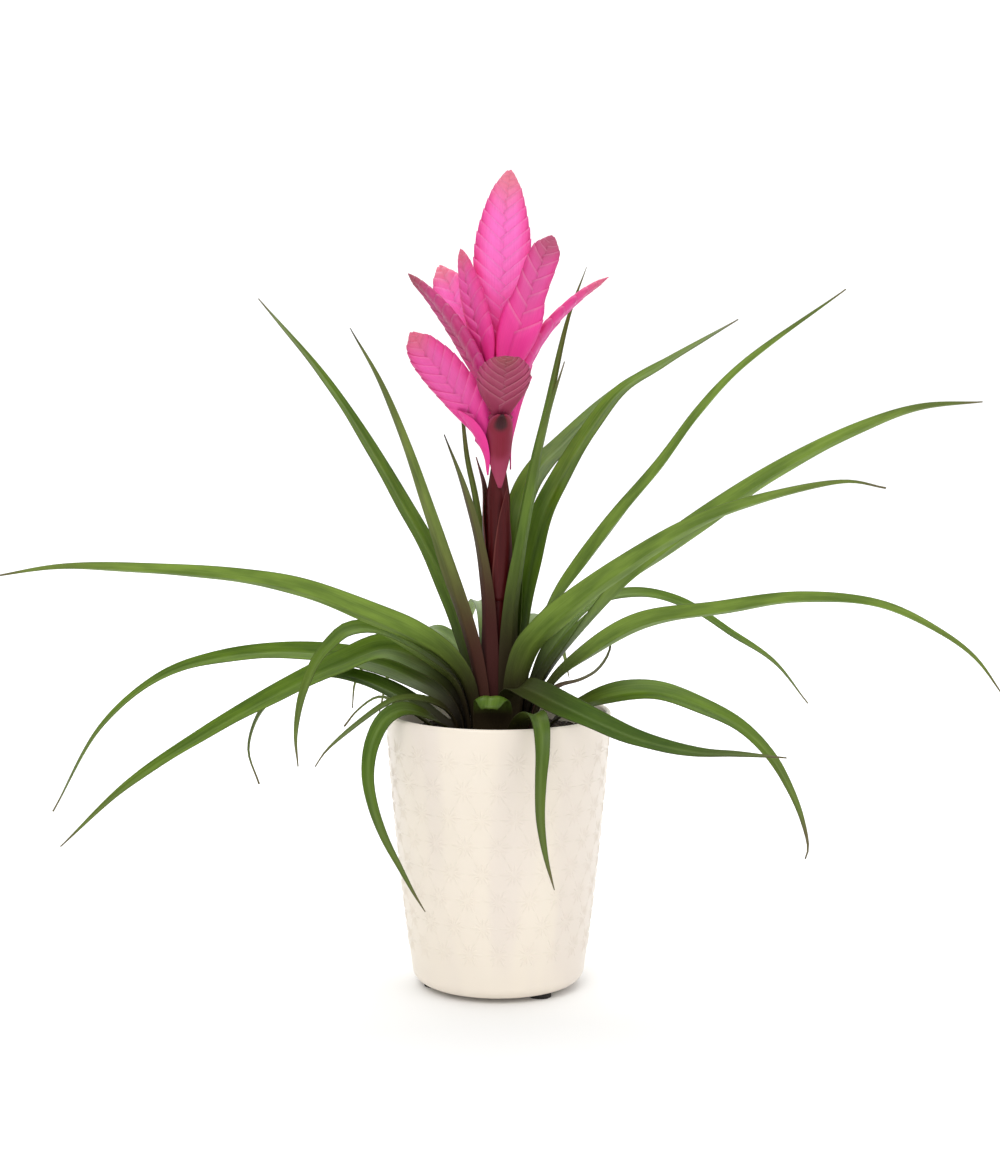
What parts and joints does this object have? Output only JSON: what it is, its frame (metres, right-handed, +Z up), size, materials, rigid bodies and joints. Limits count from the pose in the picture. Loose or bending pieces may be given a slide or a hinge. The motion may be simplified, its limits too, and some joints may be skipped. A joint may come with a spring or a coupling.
{
  "type": "potted bromeliad",
  "caption": "Bromeliad in flower: a pink feathered flower head on a dark stem over a rosette of long arching leaves, in a round glazed ceramic cover pot that stands on rubber pads.",
  "frame": {"origin": "on the surface that the pot stands on, under the middle of the plant's spread, which is the pot's axis", "axes": "+Z up along the pot's axis, -Y towards the pictured front, +X to the right of that view along the widest spread of the leaves"},
  "size_m": [0.5774, 0.4063, 0.4793],
  "materials": {
    "glaze": "cream semi-gloss glaze over an embossed starburst pattern",
    "foot_pad": "matte black rubber",
    "peat": null,
    "flower_stem": "dark maroon, waxy, with clasping bracts",
    "bract": "hot pink with salmon tips, satin",
    "leaf_green": "waxy green leaf, satin, brown at the base",
    "leaf_olive": "young leaf, olive green over purple, satin",
    "leaf_brown": "brown-purple young leaf, satin"
  },
  "bodies": {
    "root": {"flower_stem": "flower_stem", "foot_1": "foot_pad", "foot_2": "foot_pad", "foot_3": "foot_pad", "leaf_back": "leaf_green", "leaf_back_low_left": "leaf_green", "leaf_back_low_right": "leaf_green", "leaf_back_right": "leaf_green", "leaf_front": "leaf_green", "leaf_front_short": "leaf_green", "leaf_high_back": "leaf_green", "leaf_high_back_right": "leaf_green", "leaf_high_left": "leaf_green", "leaf_high_left_front": "leaf_olive", "leaf_high_right": "leaf_green", "leaf_inner_back_left": "leaf_olive", "leaf_inner_front_right": "leaf_olive", "leaf_inner_left": "leaf_brown", "leaf_inner_right": "leaf_green", "leaf_left_arching": "leaf_green", "leaf_left_folded": "leaf_green", "leaf_left_long": "leaf_green", "leaf_left_low": "leaf_green", "leaf_right_drooping": "leaf_green", "leaf_right_front": "leaf_green", "leaf_right_longest": "leaf_green", "leaf_rim_back_left": "leaf_green", "leaf_rim_back_left_thin": "leaf_green", "leaf_rim_back_right": "leaf_olive", "leaf_rim_front": "leaf_green", "leaf_rim_front_left": "leaf_green", "leaf_rim_left": "leaf_green", "leaf_rim_left_short": "leaf_green", "leaf_rim_right": "leaf_green", "pot": "glaze", "soil": "peat", "spike_back": "bract", "spike_back_left": "bract", "spike_left": "bract", "spike_low_back_left": "bract", "spike_low_back_right": "bract", "spike_low_front": "bract", "spike_low_left": "bract", "spike_right": "bract", "spike_top": "bract", "spike_upper_back": "bract", "spike_upper_left": "bract", "spike_upper_right": "bract"}
  },
  "joints": []
}
